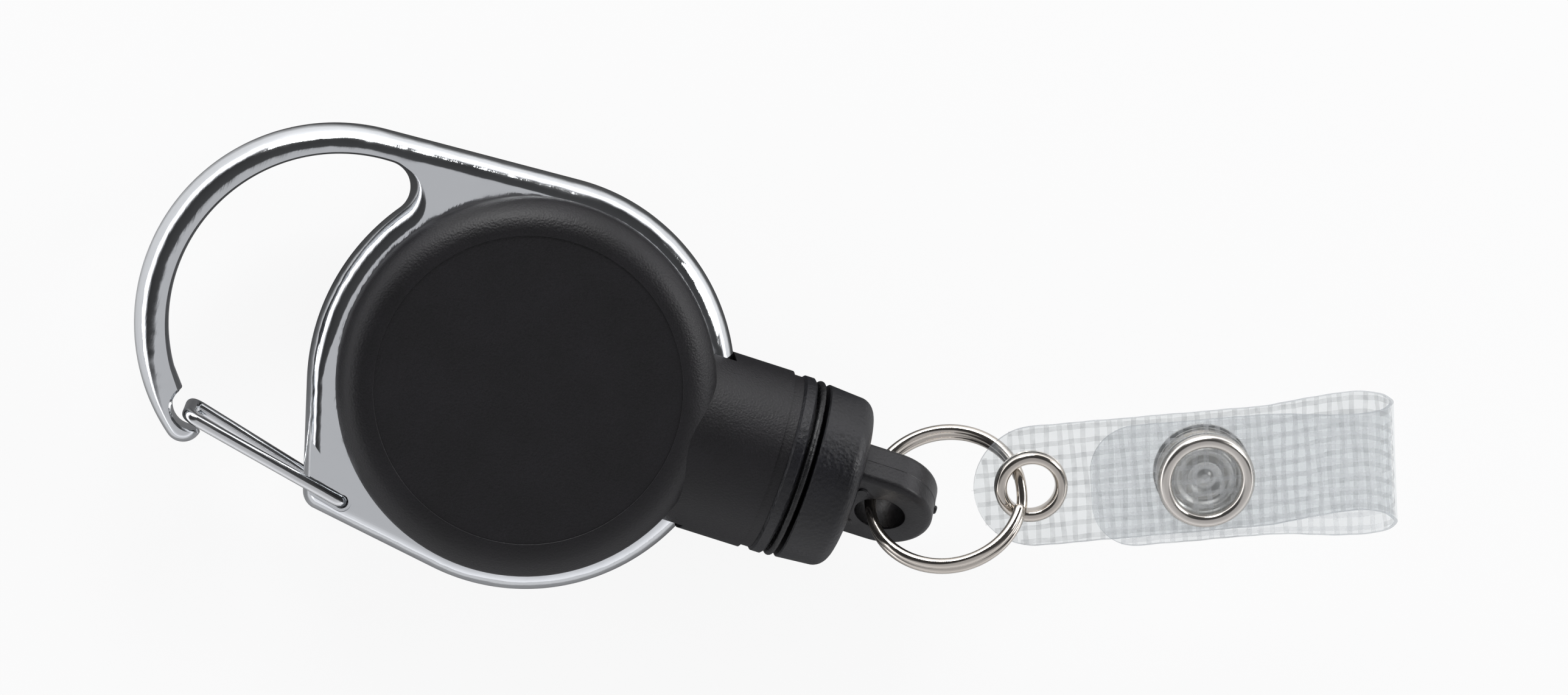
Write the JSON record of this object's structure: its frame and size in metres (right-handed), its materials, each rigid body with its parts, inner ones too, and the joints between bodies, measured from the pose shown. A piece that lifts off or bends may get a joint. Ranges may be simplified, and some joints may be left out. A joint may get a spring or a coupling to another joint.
{
  "type": "retractable badge reel",
  "caption": "Round sprung cord reel in a plated carabiner frame, with a wire gate, docking plug, swivel lug, split ring and a clear folded snap strap.",
  "frame": {"origin": "centre of the round housing's flat rear face", "axes": "+X along the nozzle, away from the housing; +Z out of the front face; +Y completes the right-handed frame"},
  "size_m": [0.1278, 0.0466, 0.0215],
  "materials": {
    "carabiner_frame": "bright chrome plate on a casting",
    "front_shell": "fine grained black moulding",
    "rear_shell": "fine grained black moulding",
    "nozzle_collar": "leather grained black moulding",
    "buffer_ring": "soft black ring",
    "cord_guide": "smooth natural plastic",
    "centre_post": "turned steel",
    "gate_wire": "bright plated wire",
    "cord_spool": "natural acetal",
    "spool_lid": "natural acetal",
    "cord_coil": "braided black cord",
    "power_spring": "blued spring steel",
    "plug_cap": "leather grained black moulding",
    "plug_insert": "plain black moulding",
    "cord_knot": "knotted black cord",
    "cord_lead": "braided black cord",
    "swivel_lug": "black nylon",
    "lug_clip": "spring steel",
    "split_ring": "nickel plated steel wire",
    "strap_rear_leg": "clear vinyl with a woven net inside",
    "strap_eyelet": "nickel plated brass",
    "eyelet_washer": "nickel plated brass",
    "snap_stud": "nickel plated brass",
    "snap_ring_rear": "nickel plated brass",
    "strap_flap": "clear vinyl with a woven net inside",
    "snap_ring_front": "nickel plated brass",
    "snap_socket": "nickel plated brass",
    "snap_spring": "spring wire"
  },
  "bodies": {
    "reel_body": {"carabiner_frame": "carabiner_frame", "front_shell": "front_shell", "rear_shell": "rear_shell", "nozzle_collar": "nozzle_collar", "buffer_ring": "buffer_ring", "cord_guide": "cord_guide", "centre_post": "centre_post"},
    "gate": {"gate_wire": "gate_wire"},
    "spool": {"cord_spool": "cord_spool", "spool_lid": "spool_lid", "cord_coil": "cord_coil", "power_spring": "power_spring"},
    "plug": {"plug_cap": "plug_cap", "plug_insert": "plug_insert", "cord_knot": "cord_knot", "cord_lead": "cord_lead"},
    "lug": {"swivel_lug": "swivel_lug", "lug_clip": "lug_clip"},
    "ring": {"split_ring": "split_ring"},
    "strap": {"strap_rear_leg": "strap_rear_leg", "strap_eyelet": "strap_eyelet", "eyelet_washer": "eyelet_washer", "snap_stud": "snap_stud", "snap_ring_rear": "snap_ring_rear"},
    "flap": {"strap_flap": "strap_flap", "snap_ring_front": "snap_ring_front", "snap_socket": "snap_socket", "snap_spring": "snap_spring"}
  },
  "joints": [
    {"name": "gate_swing", "type": "hinge", "parent": "reel_body", "child": "gate", "pos_m": [-0.0138, -0.0168, 0.0096], "axis": [0, 0, 1], "range_deg": [-25, 0], "stiffness_Nm_per_rad": 0.001},
    {"name": "cord_pull", "type": "slide", "parent": "reel_body", "child": "plug", "axis": [1, 0, 0], "range_m": [0, 0.6], "deforming": ["cord_lead"]},
    {"name": "spool_spin", "type": "hinge", "parent": "reel_body", "child": "spool", "pos_m": [0, 0, 0.0096], "axis": [0, 0, 1], "range_deg": [-2760, 0], "deforming": ["power_spring"]},
    {"name": "lug_swivel", "type": "hinge", "parent": "plug", "child": "lug", "pos_m": [0.037, 0, 0.0096], "axis": [1, 0, 0], "continuous": true},
    {"name": "ring_swing", "type": "hinge", "parent": "lug", "child": "ring", "pos_m": [0.037, 0, 0.0096], "axis": [0, -0.7771, 0.6293], "range_deg": [-60, 45]},
    {"name": "strap_swing", "type": "hinge", "parent": "ring", "child": "strap", "pos_m": [0.0509, 0.00524, 0.01326], "axis": [0.2592, -0.7622, 0.5931], "range_deg": [-35, 35]},
    {"name": "flap_open", "type": "hinge", "parent": "strap", "child": "flap", "pos_m": [0.08179, 0.01744, 0.01994], "axis": [-0.3922, 0.8961, 0.2076], "range_deg": [0, 90]}
  ],
  "couplings": [
    {"joint": "spool_spin", "follows": "cord_pull", "rad_per_m": -78.7}
  ]
}
